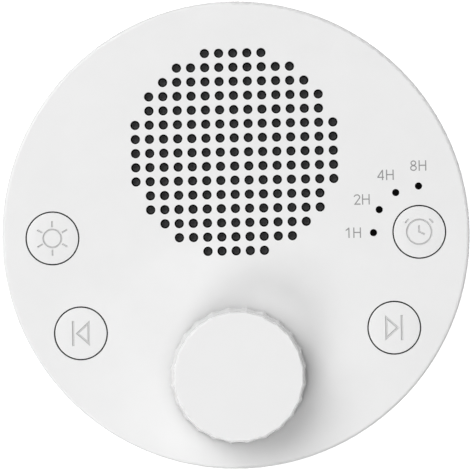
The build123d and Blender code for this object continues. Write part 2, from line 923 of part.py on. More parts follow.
def make_socket():
    """USB-C receptacle: a folded steel tube with its tongue."""
    back = socket_mouth - socket_depth
    shell = socket_slot(0, back, socket_mouth)
    shell -= socket_slot(-socket_shell, back + socket_back, socket_mouth)
    middle = socket_level + socket_height / 2
    length = socket_depth - socket_back / 2 - tongue_gap
    tongue = block(
        socket_width - 2 * tongue_gap,
        length,
        middle - tongue_thickness / 2,
        middle + tongue_thickness / 2,
        0,
        back + socket_back / 2 + length / 2,
    )
    return shell + tongue


def make_socket_board():
    middle = shelf_front + socket_board_depth / 2
    board = block(socket_board_width, socket_board_depth, shelf_top, socket_level, 0, middle)
    board &= disc(shelf_back, shelf_top, socket_level)
    hole = small_screw_diameter / 2 + fit_gap
    return board - [disc(hole, shelf_top, socket_level, x, y) for x, y in shelf_screw_places]


def make_socket_screws():
    return group([sinking_screw(socket_level, x, y) for x, y in shelf_screw_places])


# --- Files --------------------------------------------------------------------------------
pieces = {
    "upper_housing": make_upper_housing(),
    "light_ring": make_light_ring(),
    "base_shell": make_base_shell(),
    "foot_ring": make_foot_ring(),
    "housing_screws": make_housing_screws(),
    "acoustic_mesh": make_acoustic_mesh(),
    "speaker_gasket": make_speaker_gasket(),
    "speaker_frame": make_speaker_frame(),
    "speaker_screws": make_speaker_screws(),
    "speaker_top_plate": make_top_plate(),
    "speaker_magnet": make_magnet(),
    "speaker_yoke": make_yoke(),
    "voice_coil": make_voice_coil(),
    "speaker_cone": make_speaker_cone(),
    "dust_cap": make_dust_cap(),
    "cone_surround": make_surround(),
    "cone_spider": make_spider(),
    "switch_bodies": make_switch_bodies(),
    "timer_lens": make_timer_lens(),
    "timer_lamps": make_timer_lamps(),
    "knob": make_knob(),
    "encoder_shaft": make_encoder_shaft(),
    "encoder_plunger": make_encoder_plunger(),
    "encoder_case": make_encoder_case(),
    "encoder_bush": make_encoder_bush(),
    "encoder_washer": make_encoder_washer(),
    "encoder_nut": make_encoder_nut(),
    "main_board": make_main_board(),
    "board_screws": make_board_screws(),
    "board_chips": make_board_chips(),
    "board_capacitors": make_board_capacitors(),
    "board_connectors": make_board_connectors(),
    "light_board": make_light_board(),
    "night_lamps": make_night_lamps(),
    "light_board_screws": make_light_screws(),
    "cell": make_cell(),
    "cell_pad": make_cell_pad(),
    "usb_socket": make_socket(),
    "usb_board": make_socket_board(),
    "usb_board_screws": make_socket_screws(),
}
for button in button_places:
    pieces[button + "_button"] = make_button(button)
    pieces[button + "_plunger"] = make_plunger(button)

os.makedirs("parts", exist_ok=True)
for node, piece in pieces.items():
    export_step(piece, f"parts/{node}.step")
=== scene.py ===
"""White noise sound machine: finishes, engraved caps, printed hour marks and studio."""

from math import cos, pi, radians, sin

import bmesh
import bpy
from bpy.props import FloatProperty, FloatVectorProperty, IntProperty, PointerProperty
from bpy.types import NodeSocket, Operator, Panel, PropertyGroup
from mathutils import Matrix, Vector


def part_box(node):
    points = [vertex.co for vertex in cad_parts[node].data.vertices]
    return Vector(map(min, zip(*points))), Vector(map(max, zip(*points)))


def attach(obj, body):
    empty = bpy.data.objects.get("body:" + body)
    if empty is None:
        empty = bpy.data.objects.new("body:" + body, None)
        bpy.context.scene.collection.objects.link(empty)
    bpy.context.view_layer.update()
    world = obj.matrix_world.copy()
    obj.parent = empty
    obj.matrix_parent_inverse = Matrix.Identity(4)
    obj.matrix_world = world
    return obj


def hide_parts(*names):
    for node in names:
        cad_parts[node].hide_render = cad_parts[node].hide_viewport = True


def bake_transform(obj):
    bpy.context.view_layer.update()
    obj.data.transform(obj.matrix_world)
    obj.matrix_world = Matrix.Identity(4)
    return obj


bl_info = {
    "name": "White Noise Sound Machine",
    "version": (1, 0, 0),
    "blender": (4, 5, 0),
    "location": "3D View > Sidebar > Sound Machine",
    "description": "Finishes, marks and studio for a round sound machine",
    "category": "Object",
}

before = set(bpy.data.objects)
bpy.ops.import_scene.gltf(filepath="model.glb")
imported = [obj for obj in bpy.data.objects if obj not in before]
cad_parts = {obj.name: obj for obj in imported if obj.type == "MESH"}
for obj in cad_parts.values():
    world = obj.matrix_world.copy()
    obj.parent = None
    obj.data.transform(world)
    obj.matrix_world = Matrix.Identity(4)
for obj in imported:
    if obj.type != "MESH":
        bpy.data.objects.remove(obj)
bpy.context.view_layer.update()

MM = 0.001
TOUCH = 0.001 * MM
SMOOTH_ANGLE = radians(35)
FACE_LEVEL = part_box("upper_housing")[1].z
FACE_CENTRE = Vector((0, 0, FACE_LEVEL))


def middle_of(node):
    """Centre of a node's box at rest."""
    low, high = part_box(node)
    return (low + high) / 2


def radius_of(node):
    """Half the width of a round node."""
    low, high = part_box(node)
    return (high.x - low.x) / 2


# --- Settings ---
def metres(name, default):
    """Length."""
    return FloatProperty(name=name, default=default, unit="LENGTH")


def number(name, default):
    """Number without a unit."""
    return FloatProperty(name=name, default=default)


def watts(name, default):
    """Power of a lamp."""
    return FloatProperty(name=name, default=default, unit="POWER")


def offset_xyz(name, default):
    """Place from another, in metres."""
    return FloatVectorProperty(name=name, default=default, size=3, subtype="TRANSLATION")


def linear_rgb(name, default):
    """Colour in linear values."""
    return FloatVectorProperty(name=name, default=default, size=3, subtype="COLOR")


class StudioSettings(PropertyGroup):
    """Camera, lamps and floor."""

    camera_place: offset_xyz("From the face's centre to the camera", (-0.007, 0, 1.07))
    camera_aim: offset_xyz("From the face's centre to the aim", (-0.22 * MM, 0.03 * MM, 0))
    camera_roll: FloatProperty(name="Turn of the picture", default=radians(1.03), subtype="ANGLE")
    view_width: metres("Width seen at the face", 0.1104)
    floor_colour: linear_rgb("Pale floor", (0.9, 0.9, 0.9))
    floor_size: metres("Width of the floor", 8.0)
    floor_glow: number("Light added where the floor is seen", 0.7)
    world_strength: number("Soft light all round", 0.06)
    lamp_distance: metres("From the face's centre to each lamp", 3.0)
    upper_power: watts("Large lamp above", 35.4)
    left_power: watts("Large lamp at upper left", 35.3)
    low_power: watts("Smaller lamp at lower left", 28.6)
    right_power: watts("Weak lamp at lower right", 18.6)


class ShellSettings(PropertyGroup):
    """Colours and surfaces of the outer mouldings."""

    shell_colour: linear_rgb("White of the drum", (0.84, 0.84, 0.84))
    cap_colour: linear_rgb("White of the button caps", (0.84, 0.84, 0.84))
    knob_colour: linear_rgb("White of the knob", (0.86, 0.86, 0.86))
    base_colour: linear_rgb("White of the base shell", (0.83, 0.83, 0.825))
    ring_colour: linear_rgb("Milky light ring", (0.9, 0.89, 0.86))
    foot_colour: linear_rgb("Grey rubber of the foot", (0.3, 0.3, 0.31))
    # Painted highlight: the knob's wall is coloured lighter than its top.
    knob_wall_painted_light: number("Lightness of the knob's wall over its top", 1.1)
    knob_wall_polish: number("Roughness lost on the knob's wall", 0.12)
    knob_wall_start: metres("From the knob's axis to its wall", 14.9 * MM)
    knob_wall_fade: metres("Width of the change to the wall", 0.3 * MM)
    # Painted shade in the drum's creases: its width and its strength.
    crease_shade_reach: metres("Width of the dull margin in creases", 4.0 * MM)
    crease_shade_depth: number("Loss of colour deep in a crease", 0.24)
    grain: metres("Size of the moulded texture", 0.12 * MM)
    edge_radius: metres("Softness of moulded edges", 0.05 * MM)


class MarkSettings(PropertyGroup):
    """Engraved marks on the caps and printed hours beside the timer lights."""

    depth: metres("Depth of the engraved marks", 0.3 * MM)
    slope: metres("Width of the sloping wall of a groove", 0.19 * MM)
    fine_stroke: metres("Line of the sun and the clock", 0.42 * MM)
    bold_stroke: metres("Line of the two skip marks", 0.54 * MM)
    # Painted shade on the floor of the engraved grooves.
    mark_shade_colour: linear_rgb("Grey in the engraved marks", (0.6, 0.6, 0.6))
    hour_height: metres("Height of the printed hours", 2.43 * MM)
    ink_colour: linear_rgb("Grey of the printed hours", (0.26, 0.26, 0.26))
    ink_thickness: metres("Film of ink on the face", 0.012 * MM)


class SpeakerSettings(PropertyGroup):
    """Cloth, rubber and wire in the speaker."""

    thread_pitch: metres("Weave of the acoustic mesh", 0.32 * MM)
    thread_height: metres("Relief of woven threads", 0.05 * MM)
    mesh_colour: linear_rgb("Threads of the acoustic mesh", (0.07, 0.07, 0.072))
    hole_pitch: metres("From one grille hole to the next", 3.32 * MM)
    # Painted shade on the cloth round each grille hole: the radius left unshaded and the width of
    # its soft edge.
    rim_shade_radius: metres("Radius free of painted shade under a hole", 0.72 * MM)
    rim_shade_fade: metres("Width of the painted shade's soft edge", 0.12 * MM)
    wire_pitch: metres("Turns of the voice coil", 0.2 * MM)
    surround_wall: metres("Thickness of the rubber roll", 0.45 * MM)
    spider_wall: metres("Thickness of the spider's cloth", 0.35 * MM)
    spider_pitch: metres("Weave of the spider", 0.35 * MM)
    spider_swell: metres("Height of the spider's corrugations", 0.22 * MM)
    spider_waves: IntProperty(name="Corrugations of the spider", default=5)
    round_steps: IntProperty(name="Steps round the surround and spider", default=96)


# --- Selecting and finishing in the viewport ---
def deselect_all():
    """Leave edit mode and clear the selection."""
    if bpy.context.object and bpy.context.object.mode != "OBJECT":
        bpy.ops.object.mode_set(mode="OBJECT")
    bpy.ops.object.select_all(action="DESELECT")


def activate(thing):
    """Select this object only and make it active."""
    deselect_all()
    thing.select_set(True)
    bpy.context.view_layer.objects.active = thing


def start_piece(name):
    """Name the new primitive and open it for shaping, with nothing picked."""
    piece = bpy.context.object
    piece.name = name
    piece.data.name = name
    bpy.ops.object.mode_set(mode="EDIT")
    bpy.ops.mesh.select_mode(type="FACE")
    bpy.ops.mesh.select_all(action="DESELECT")
    return piece


def pick(piece, kind, test):
    """Pick the faces or the edges that pass a test."""
    bpy.ops.mesh.select_mode(type=kind)
    shape = bmesh.from_edit_mesh(piece.data)
    for part in shape.faces if kind == "FACE" else shape.edges:
        part.select_set(bool(test(part)))
    shape.select_flush_mode()
    bmesh.update_edit_mesh(piece.data)


def apply_modifier(piece, kind, **values):
    """Add one modifier with its values and apply it."""
    activate(piece)
    modifier = piece.modifiers.new(kind.title(), kind)
    for key, value in values.items():
        setattr(modifier, key, value)
    bpy.ops.object.modifier_apply(modifier=modifier.name)


def settle(piece, smooth_angle=SMOOTH_ANGLE):
    """Put the place into the mesh, point the faces outwards and smooth the soft edges."""
    activate(piece)
    bpy.ops.object.transform_apply(location=True, rotation=True, scale=True)
    bpy.ops.object.mode_set(mode="EDIT")
    bpy.ops.mesh.select_all(action="SELECT")
    bpy.ops.mesh.remove_doubles(threshold=TOUCH / 2)
    bpy.ops.mesh.normals_make_consistent(inside=False)
    bpy.ops.object.mode_set(mode="OBJECT")
    bpy.ops.object.shade_smooth_by_angle(angle=smooth_angle)


def dress(target, finish):
    """Give a piece or a node one finish."""
    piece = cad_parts[target] if isinstance(target, str) else target
    piece.data.materials.clear()
    piece.data.materials.append(finish)


def dress_faces(piece, finish, test):
    """Give the faces that pass a test a finish of their own."""
    piece.data.materials.append(finish)
    activate(piece)
    bpy.ops.object.mode_set(mode="EDIT")
    pick(piece, "FACE", test)
    piece.active_material_index = len(piece.data.materials) - 1
    bpy.ops.object.material_slot_assign()
    bpy.ops.object.mode_set(mode="OBJECT")


# --- Node building ---
class Finish:
    """One material, whose patterns follow the object's own coordinates."""

    CREASE_SAMPLES = 12
    EDGE_SAMPLES = 6

    def __init__(self, name, **shader_values):
        self.material = bpy.data.materials.new(name)
        self.material.use_nodes = True
        self.tree = self.material.node_tree
        self.shader = self.tree.nodes["Principled BSDF"]
        self.place = self.add("ShaderNodeTexCoord").outputs["Object"]
        for key, value in shader_values.items():
            socket = key.replace("_", " ").title().replace("Ior", "IOR")
            self.shader.inputs[socket].default_value = value

    def add(self, kind, values=None, **settings):
        """Add a node with its settings; a value is a number, a colour or another node's socket."""
        node = self.tree.nodes.new(kind)
        for key, value in settings.items():
            setattr(node, key, value)
        for socket, value in (values or {}).items():
            if isinstance(value, NodeSocket):
                self.tree.links.new(value, node.inputs[socket])
            else:
                node.inputs[socket].default_value = value
        return node

    def noise(self, size, detail=2.0, stretch=(1, 1, 1)):
        """Noise whose features are about this large, in metres."""
        place = self.add("ShaderNodeMapping", {"Vector": self.place, "Scale": stretch}).outputs[0]
        values = {"Vector": place, "Scale": 1 / size, "Detail": detail}
        return self.add("ShaderNodeTexNoise", values).outputs[0]

    def cells(self, size):
        """Distance from the nearest of points about this far apart, as a share of it."""
        values = {"Vector": self.place, "Scale": 1 / size}
        return self.add("ShaderNodeTexVoronoi", values).outputs[0]

    def ripple(self, along, pitch):
        """Height of threads side by side along an axis: 0 between them and 1 on each."""
        turn = self.maths("MULTIPLY", along, pi / pitch)
        return self.maths("ABSOLUTE", self.maths("SINE", turn))

    def weave(self, pitch):
        """Height of a plain weave: the higher of its two crossing threads."""
        axes = self.axes()
        return self.maths("MAXIMUM", self.ripple(axes[0], pitch), self.ripple(axes[1], pitch))

    def vary(self, value, low, high, start=0.3, end=0.7):
        """Spread a value between two limits."""
        spread = {
            "Value": value, "From Min": start, "From Max": end, "To Min": low, "To Max": high
        }
        return self.add("ShaderNodeMapRange", spread).outputs[0]

    def maths(self, operation, first, second=0.0):
        """One sum on two numbers or sockets."""
        return self.add("ShaderNodeMath", {0: first, 1: second}, operation=operation).outputs[0]

    def mix(self, share, first, second, blend_type="MIX"):
        """Blend two colours."""
        values = {0: share, 6: first, 7: second}
        mixer = self.add("ShaderNodeMix", values, data_type="RGBA", blend_type=blend_type)
        return mixer.outputs[2]

    def axes(self):
        """The object's own x, y and z."""
        return self.add("ShaderNodeSeparateXYZ", {0: self.place}).outputs

    def offsets(self, centre):
        """Distances from an upright axis along x and along y."""
        axes = self.axes()
        return [self.maths("SUBTRACT", axes[index], centre[index]) for index in range(2)]

    def length(self, offsets):
        """Length of the slanted line with these two offsets."""
        squares = [self.maths("MULTIPLY", offset, offset) for offset in offsets]
        return self.maths("SQRT", self.maths("ADD", *squares))

    def colour(self, socket):
        """Colour the surface."""
        self.tree.links.new(socket, self.shader.inputs["Base Color"])

    def roughness(self, socket):
        """Set how matt the surface is."""
        self.tree.links.new(socket, self.shader.inputs["Roughness"])

    def paint_crease_shade(self, reach, depth):
        """Darken the colour in creases by how closed in they are: painted shade."""
        plain = self.shader.inputs["Base Color"].links[0].from_socket
        values = {"Color": (1, 1, 1, 1), "Distance": reach}
        opening = self.add("ShaderNodeAmbientOcclusion", values, samples=self.CREASE_SAMPLES)
        lit_share = self.vary(opening.outputs["AO"], 1 - depth, 1, 0, 1)
        self.colour(self.mix(1.0, plain, lit_share, "MULTIPLY"))

    def bump(self, height, depth):
        """Raise the surface by a height from 0 to 1, times a depth in metres."""
        joint = self.shader.inputs["Normal"]
        values = {"Height": height, "Distance": depth, "Strength": 1.0}
        if joint.is_linked:
            values["Normal"] = joint.links[0].from_socket
        self.tree.links.new(self.add("ShaderNodeBump", values).outputs[0], joint)

    def soften(self, radius):
        """Round the sharp edges in the shading."""
        bevel = self.add("ShaderNodeBevel", {"Radius": radius}, samples=self.EDGE_SAMPLES)
        self.tree.links.new(bevel.outputs[0], self.shader.inputs["Normal"])

    def follow(self, pattern, shades, depth=0.0, gloss=None, spread=(0.3, 0.7)):
        """Let the colour, the roughness and the height of the surface follow one pattern."""
        self.colour(self.mix(self.vary(pattern, 0, 1, *spread), *shades))
        if gloss:
            self.roughness(self.vary(pattern, *gloss))
        if depth:
            self.bump(pattern, depth)
        return self.material


FLOW_SIZE = 9 * MM
GLOSS_SIZE = 1.4 * MM
DUST_SIZE = 3 * MM
PEBBLE_SIZE = 0.25 * MM
STAIN_SIZE = 2.5 * MM


def tinted(colour, factor):
    """A colour made lighter or darker, with full opacity."""
    return (colour[0] * factor, colour[1] * factor, colour[2] * factor, 1.0)


def tones(colour, first, second):
    """Two shades of a colour."""
    return tinted(colour, first), tinted(colour, second)


def moulded_plastic(
    name, colour, roughness, grain=0.12 * MM, depth=0.0015 * MM, edge=0.0, mottle=0.012, crease=None
):
    """Injection-moulded plastic: spark-eroded grain, faint flow shades and uneven gloss."""
    finish = Finish(name, roughness=roughness)
    finish.follow(finish.noise(FLOW_SIZE, 3.0), tones(colour, 1 - mottle, 1 + mottle))
    gloss = finish.noise(GLOSS_SIZE, 4.0)
    finish.roughness(finish.vary(gloss, roughness - 0.05, roughness + 0.05))
    # Painted shade in creases, from how closed in each point is.
    if crease:
        finish.paint_crease_shade(*crease)
    if edge:
        finish.soften(edge)
    finish.bump(finish.noise(grain, 3.0), depth)
    return finish.material


def rubber(name, colour, roughness=0.75):
    """Matt rubber with a fine pebbled skin and a little dust."""
    finish = Finish(name, roughness=roughness, specular_ior_level=0.35)
    gloss = (roughness - 0.1, roughness + 0.08)
    finish.follow(finish.noise(DUST_SIZE, 6.0), tones(colour, 0.85, 1.2), gloss=gloss)
    finish.bump(finish.noise(PEBBLE_SIZE), 0.006 * MM)
    return finish.material


def foam(name, colours, pore, depth, roughness):
    """Closed-cell foam with small open pores on its cut faces."""
    finish = Finish(name, roughness=roughness)
    return finish.follow(finish.cells(pore), colours, depth, spread=(0.1, 0.6))


def worked_metal(name, colour, roughness, streak=(1, 1, 1), size=0.3 * MM, metallic=1.0):
    """Plated, ground or drawn metal: streaks of gloss, small stains and a tooling texture."""
    finish = Finish(name, roughness=roughness, metallic=metallic)
    finish.follow(finish.noise(STAIN_SIZE, 5.0), tones(colour, 0.86, 1.08))
    tooling = finish.noise(size, 4.0, streak)
    finish.roughness(finish.vary(tooling, roughness - 0.1, roughness + 0.12))
    finish.bump(tooling, 0.002 * MM)
    return finish.material


# --- Studio ---
def add_lamp(name, power, size, place, target):
    """Square soft lamp that faces a target."""
    deselect_all()
    bpy.ops.object.light_add(type="AREA", location=place)
    lamp = bpy.context.object
    lamp.name = name
    lamp.data.energy = power
    lamp.data.size = size
    lamp.rotation_euler = (target - place).to_track_quat("-Z", "Y").to_euler()


class SOUND_OT_stage(Operator):
    """Set up the floor, the soft lamps, the world and the camera"""

    bl_idname = "sound_machine.stage"
    bl_label = "Studio"

    # Name, power setting, width in metres, turn from +X and height over the face in degrees.
    LAMPS = (
        ("upper_lamp", "upper_power", 2.0, 120, 55),
        ("left_lamp", "left_power", 2.0, 150, 55),
        ("low_lamp", "low_power", 1.3, 240, 45),
        ("right_lamp", "right_power", 2.0, 330, 55),
    )

    def floor(self, settings):
        """Pale floor, seen as near white outside the object's shadow and clear from below."""
        deselect_all()
        bpy.ops.mesh.primitive_grid_add(
            x_subdivisions=8, y_subdivisions=8, size=settings.floor_size
        )
        floor = bpy.context.object
        floor.name = "studio_floor"
        colour = settings.floor_colour
        finish = Finish("studio_floor", roughness=0.9, specular_ior_level=0.1)
        finish.follow(finish.noise(0.4), tones(colour, 0.99, 1.0))
        rays = finish.add("ShaderNodeLightPath").outputs
        seen = finish.maths("MAXIMUM", rays["Is Camera Ray"], rays["Is Glossy Ray"])
        seen = finish.maths("MAXIMUM", seen, rays["Is Transmission Ray"])
        glow = finish.maths("MULTIPLY", seen, settings.floor_glow)
        finish.shader.inputs["Emission Color"].default_value = (1, 1, 1, 1)
        finish.tree.links.new(glow, finish.shader.inputs["Emission Strength"])
        clear = finish.add("ShaderNodeBsdfTransparent").outputs[0]
        under = finish.add("ShaderNodeNewGeometry").outputs["Backfacing"]
        sides = {0: under, 1: finish.shader.outputs[0], 2: clear}
        surface = finish.add("ShaderNodeMixShader", sides).outputs[0]
        finish.tree.links.new(surface, finish.tree.nodes["Material Output"].inputs["Surface"])
        dress(floor, finish.material)

    def world(self, settings):
        """Even light all round, seen by the camera as white."""
        world = bpy.data.worlds.new("studio_world")
        bpy.context.scene.world = world
        world.use_nodes = True
        tree = world.node_tree
        light = tree.nodes["Background"]
        light.inputs["Strength"].default_value = settings.world_strength
        backdrop = tree.nodes.new("ShaderNodeBackground")
        for source in (light, backdrop):
            source.inputs["Color"].default_value = (1, 1, 1, 1)
        rays = tree.nodes.new("ShaderNodeLightPath")
        mixer = tree.nodes.new("ShaderNodeMixShader")
        tree.links.new(rays.outputs["Is Camera Ray"], mixer.inputs[0])
        tree.links.new(light.outputs[0], mixer.inputs[1])
        tree.links.new(backdrop.outputs[0], mixer.inputs[2])
        tree.links.new(mixer.outputs[0], tree.nodes["World Output"].inputs["Surface"])

    def camera(self, settings):
        """Long lens almost straight above the face."""
        target = FACE_CENTRE + Vector(settings.camera_aim)
        place = FACE_CENTRE + Vector(settings.camera_place)
        ahead = (target - place).normalized()
        right = Vector((cos(settings.camera_roll), -sin(settings.camera_roll), 0))
        right = (right - ahead * right.dot(ahead)).normalized()
        up = right.cross(ahead)
        deselect_all()
        bpy.ops.object.camera_add(location=place)
        camera = bpy.context.object
        camera.name = "studio_camera"
        turn = Matrix((right, up, -ahead)).transposed()
        camera.matrix_world = Matrix.Translation(place) @ turn.to_4x4()
        distance = (place - target).length
        camera.data.lens = camera.data.sensor_width * distance / settings.view_width
        bpy.context.scene.camera = camera

    def lamps(self, settings):
        """Soft square lamps round the face."""
        for name, power, width, turn, height in self.LAMPS:
            turn, height = radians(turn), radians(height)
            ray = Vector((cos(turn) * cos(height), sin(turn) * cos(height), sin(height)))
            place = FACE_CENTRE + ray * settings.lamp_distance
            add_lamp(name, getattr(settings, power), width, place, FACE_CENTRE)

    def execute(self, context):
        settings = context.scene.sound_studio
        context.scene.view_settings.view_transform = "Standard"
        self.floor(settings)
        self.world(settings)
        self.camera(settings)
        self.lamps(settings)
        return {"FINISHED"}


# --- Housing, base, ring and foot ---
class SOUND_OT_housing(Operator):
    """Finish the drum, the light ring, the base shell and the rubber foot"""

    bl_idname = "sound_machine.housing"
    bl_label = "Housing"

    def diffuser(self, colour):
        """Milky band that lets light through."""
        finish = Finish(
            "milky_diffuser", roughness=0.38, coat_weight=0.1,
            subsurface_weight=0.35, subsurface_scale=2 * MM,
        )
        finish.follow(finish.noise(6 * MM, 3.0), tones(colour, 0.985, 1.01))
        finish.roughness(finish.vary(finish.noise(1.0 * MM, 3.0), 0.32, 0.45))
        finish.bump(finish.noise(0.2 * MM), 0.001 * MM)
        return finish.material

    def execute(self, context):
        settings = context.scene.sound_shell
        # The drum's colour carries painted shade in its creases: round the knob's foot, in the cap
        # gaps and in the grille holes.
        drum = moulded_plastic(
            "drum_white", settings.shell_colour, 0.42, settings.grain, edge=settings.edge_radius,
            crease=(settings.crease_shade_reach, settings.crease_shade_depth),
        )
        base = moulded_plastic("base_white", settings.base_colour, 0.5, 0.2 * MM, 0.003 * MM)
        dress("upper_housing", drum)
        dress("base_shell", base)
        dress("light_ring", self.diffuser(settings.ring_colour))
        dress("foot_ring", rubber("foot_rubber", settings.foot_colour))
        return {"FINISHED"}


# --- Knob ---
class SOUND_OT_knob(Operator):
    """Finish the fluted knob and the push encoder that it turns"""

    bl_idname = "sound_machine.knob"
    bl_label = "Knob and encoder"

    def satin(self, settings):
        """Satin top, and a glossier wall whose colour is a painted highlight, lighter than the top.
        """
        finish = Finish("knob_white", roughness=0.34)
        away = finish.length(finish.offsets(middle_of("knob")))
        start = settings.knob_wall_start
        wall = finish.vary(away, 0, 1, start, start + settings.knob_wall_fade)
        colour, painted_light = settings.knob_colour, settings.knob_wall_painted_light
        # Painted highlight on the wall, lighter than the top.
        plain = finish.mix(wall, tinted(colour, 0.995), tinted(colour, painted_light))
        bright = finish.mix(wall, tinted(colour, 1.005), tinted(colour, painted_light + 0.01))
        finish.follow(finish.noise(FLOW_SIZE, 3.0), (plain, bright))
        gloss = finish.vary(finish.noise(GLOSS_SIZE, 4.0), 0.31, 0.38)
        polish = finish.maths("MULTIPLY", wall, settings.knob_wall_polish)
        finish.roughness(finish.maths("SUBTRACT", gloss, polish))
        finish.soften(settings.edge_radius)
        finish.bump(finish.noise(settings.grain, 3.0), 0.001 * MM)
        return finish.material

    def execute(self, context):
        dress("knob", self.satin(context.scene.sound_shell))
        plated = worked_metal("encoder_nickel", (0.6, 0.59, 0.56), 0.28, (1, 1, 12), 0.4 * MM)
        for node in ("encoder_shaft", "encoder_bush", "encoder_washer", "encoder_nut"):
            dress(node, plated)
        black = moulded_plastic("encoder_black", (0.028, 0.028, 0.03), 0.45, 0.1 * MM)
        dress("encoder_case", black)
        dark = moulded_plastic("plunger_black", (0.05, 0.05, 0.05), 0.4, 0.1 * MM)
        dress("encoder_plunger", dark)
        return {"FINISHED"}


# --- Outlines of the marks ---
def arc(centre, radii, start, end, steps=24):
    """Points along an arc of an ellipse, its ends given in degrees."""
    angles = [radians(start + (end - start) * index / steps) for index in range(steps + 1)]
    return [(centre[0] + radii[0] * cos(turn), centre[1] + radii[1] * sin(turn)) for turn in angles]


def loop(centre, radii, steps=64):
    """A whole ellipse, without its first point again at the end."""
    return arc(centre, radii, 0, 360, steps)[:-1]


def moved_aside(points, distance, closed):
    """The line a distance to its left, with mitred corners."""
    line = [Vector(point) for point in points]
    count = len(line)
    sides = []
    for index in range(count if closed else count - 1):
        along = (line[(index + 1) % count] - line[index]).normalized()
        sides.append(Vector((-along.y, along.x)))
    before = sides[-1:] + sides[:-1] if closed else sides[:1] + sides
    after = sides if closed else sides + sides[-1:]
    return [
        tuple(point + (one + other) * distance / (1 + one.dot(other)))
        for point, one, other in zip(line, before, after)
    ]


def ribbon(points, width):
    """Outline of a stroke along an open line."""
    return moved_aside(points, width / 2, False) + moved_aside(points, -width / 2, False)[::-1]


def band(points, width):
    """The two outlines of a stroke along a closed line."""
    return [moved_aside(points, width / 2, True), moved_aside(points, -width / 2, True)]


def scaled(outlines, scale, shift):
    """Outlines drawn larger or smaller and moved."""
    across, along = shift
    return [[(x * scale + across, y * scale + along) for x, y in outline] for outline in outlines]


def sun_outlines(stroke):
    """Small ring with six rays."""
    ring, ray_start, ray_end = 2.11 * MM, 2.64 * MM, 4.05 * MM
    outlines = band(loop((0, 0), (ring, ring)), stroke)
    for turn in range(90, 450, 60):
        ray = Vector((cos(radians(turn)), sin(radians(turn))))
        outlines.append(ribbon([ray * ray_start, ray * ray_end], stroke))
    return outlines


def clock_outlines(stroke):
    """Alarm clock: ring, two bells and two hands."""
    ring, bell = 2.9 * MM, 3.87 * MM
    hands = [(0, 1.6 * MM), (0, 0), (1.29 * MM, -0.59 * MM)]
    outlines = band(loop((0, 0), (ring, ring)), stroke)
    for start, end in ((147, 129), (51, 33)):
        outlines.append(ribbon(arc((0, 0), (bell, bell), start, end, 8), stroke))
    return outlines + [ribbon(hands, stroke)]


def skip_outlines(stroke, side):
    """Bar and outlined triangle that points at it; side is -1 for previous and 1 for next."""
    bar, reach = side * 1.8 * MM, 2.95 * MM
    tip, back, spread = side * 0.83 * MM, side * -1.83 * MM, 2.39 * MM
    triangle = [(tip, 0), (back, spread), (back, -spread)]
    return [ribbon([(bar, -reach), (bar, reach)], stroke)] + band(triangle, stroke)


# The letter and the figures are drawn in shares of their own height.
INK_STROKE = 0.105


def letter_h(left):
    """Capital H."""
    width = 0.734
    low, high = 0.47, 0.575
    right = left + width
    left_in, right_in = left + INK_STROKE, right - INK_STROKE
    return [[
        (left, 0), (left_in, 0), (left_in, low), (right_in, low), (right_in, 0), (right, 0),
        (right, 1), (right_in, 1), (right_in, high), (left_in, high), (left_in, 1), (left, 1),
    ]]


def figure_one():
    """Figure 1 with a slanted flag."""
    left, right, tip = 0.315, 0.42, 0.055
    return [[(left, 0), (right, 0), (right, 1), (0.35, 1), (tip, 0.78), (tip, 0.67), (left, 0.82)]]


def figure_two():
    """Figure 2: a bow, a slanted neck and a flat foot."""
    bow = arc((0.3, 0.725), (0.265, 0.2225), 170, -35)
    foot = [(0.1, INK_STROKE / 2), (0.635, INK_STROKE / 2)]
    return [ribbon(bow + foot, INK_STROKE)]


def figure_four():
    """Figure 4 with a closed triangle."""
    left, right = 0.395, 0.5
    low, high = 0.225, 0.325
    outer = [
        (left, 0), (right, 0), (right, low), (0.59, low), (0.59, high), (right, high),
        (right, 1), (0.405, 1), (-0.05, 0.33), (-0.05, low), (left, low),
    ]
    return [outer, [(left, high), (left, 0.8), (0.075, high)]]


def figure_eight():
    """Figure 8: two round bowls that meet at the waist."""
    low, high = (0.285, 0.268), (0.285, 0.745)
    lower = arc(low, (0.32, 0.275), 65, -245, 40)
    upper = arc(high, (0.275, 0.262), 240.54, -60.54, 40)
    return [lower + upper, loop(low, (0.215, 0.172)), loop(high, (0.17, 0.16))]


def flat_shape(name, outlines, thickness, place, slope=0.0):
    """Mesh of the outlines, half its thickness above its place and half below.

    The slope is the width of a chamfer that narrows it towards its top and its underside.
    """
    deselect_all()
    curve = bpy.data.curves.new(name, "CURVE")
    curve.dimensions = "2D"
    curve.fill_mode = "BOTH"
    curve.extrude = thickness / 2 - slope
    curve.bevel_depth = slope
    curve.offset = -slope
    curve.bevel_resolution = 0
    for outline in outlines:
        spline = curve.splines.new("POLY")
        spline.points.add(len(outline) - 1)
        for point, (x, y) in zip(spline.points, outline):
            point.co = (x, y, 0, 1)
        spline.use_cyclic_u = True
    shape = bpy.data.objects.new(name, curve)
    bpy.context.collection.objects.link(shape)
    activate(shape)
    bpy.ops.object.convert(target="MESH")
    shape.location = place
    settle(shape)
    return shape


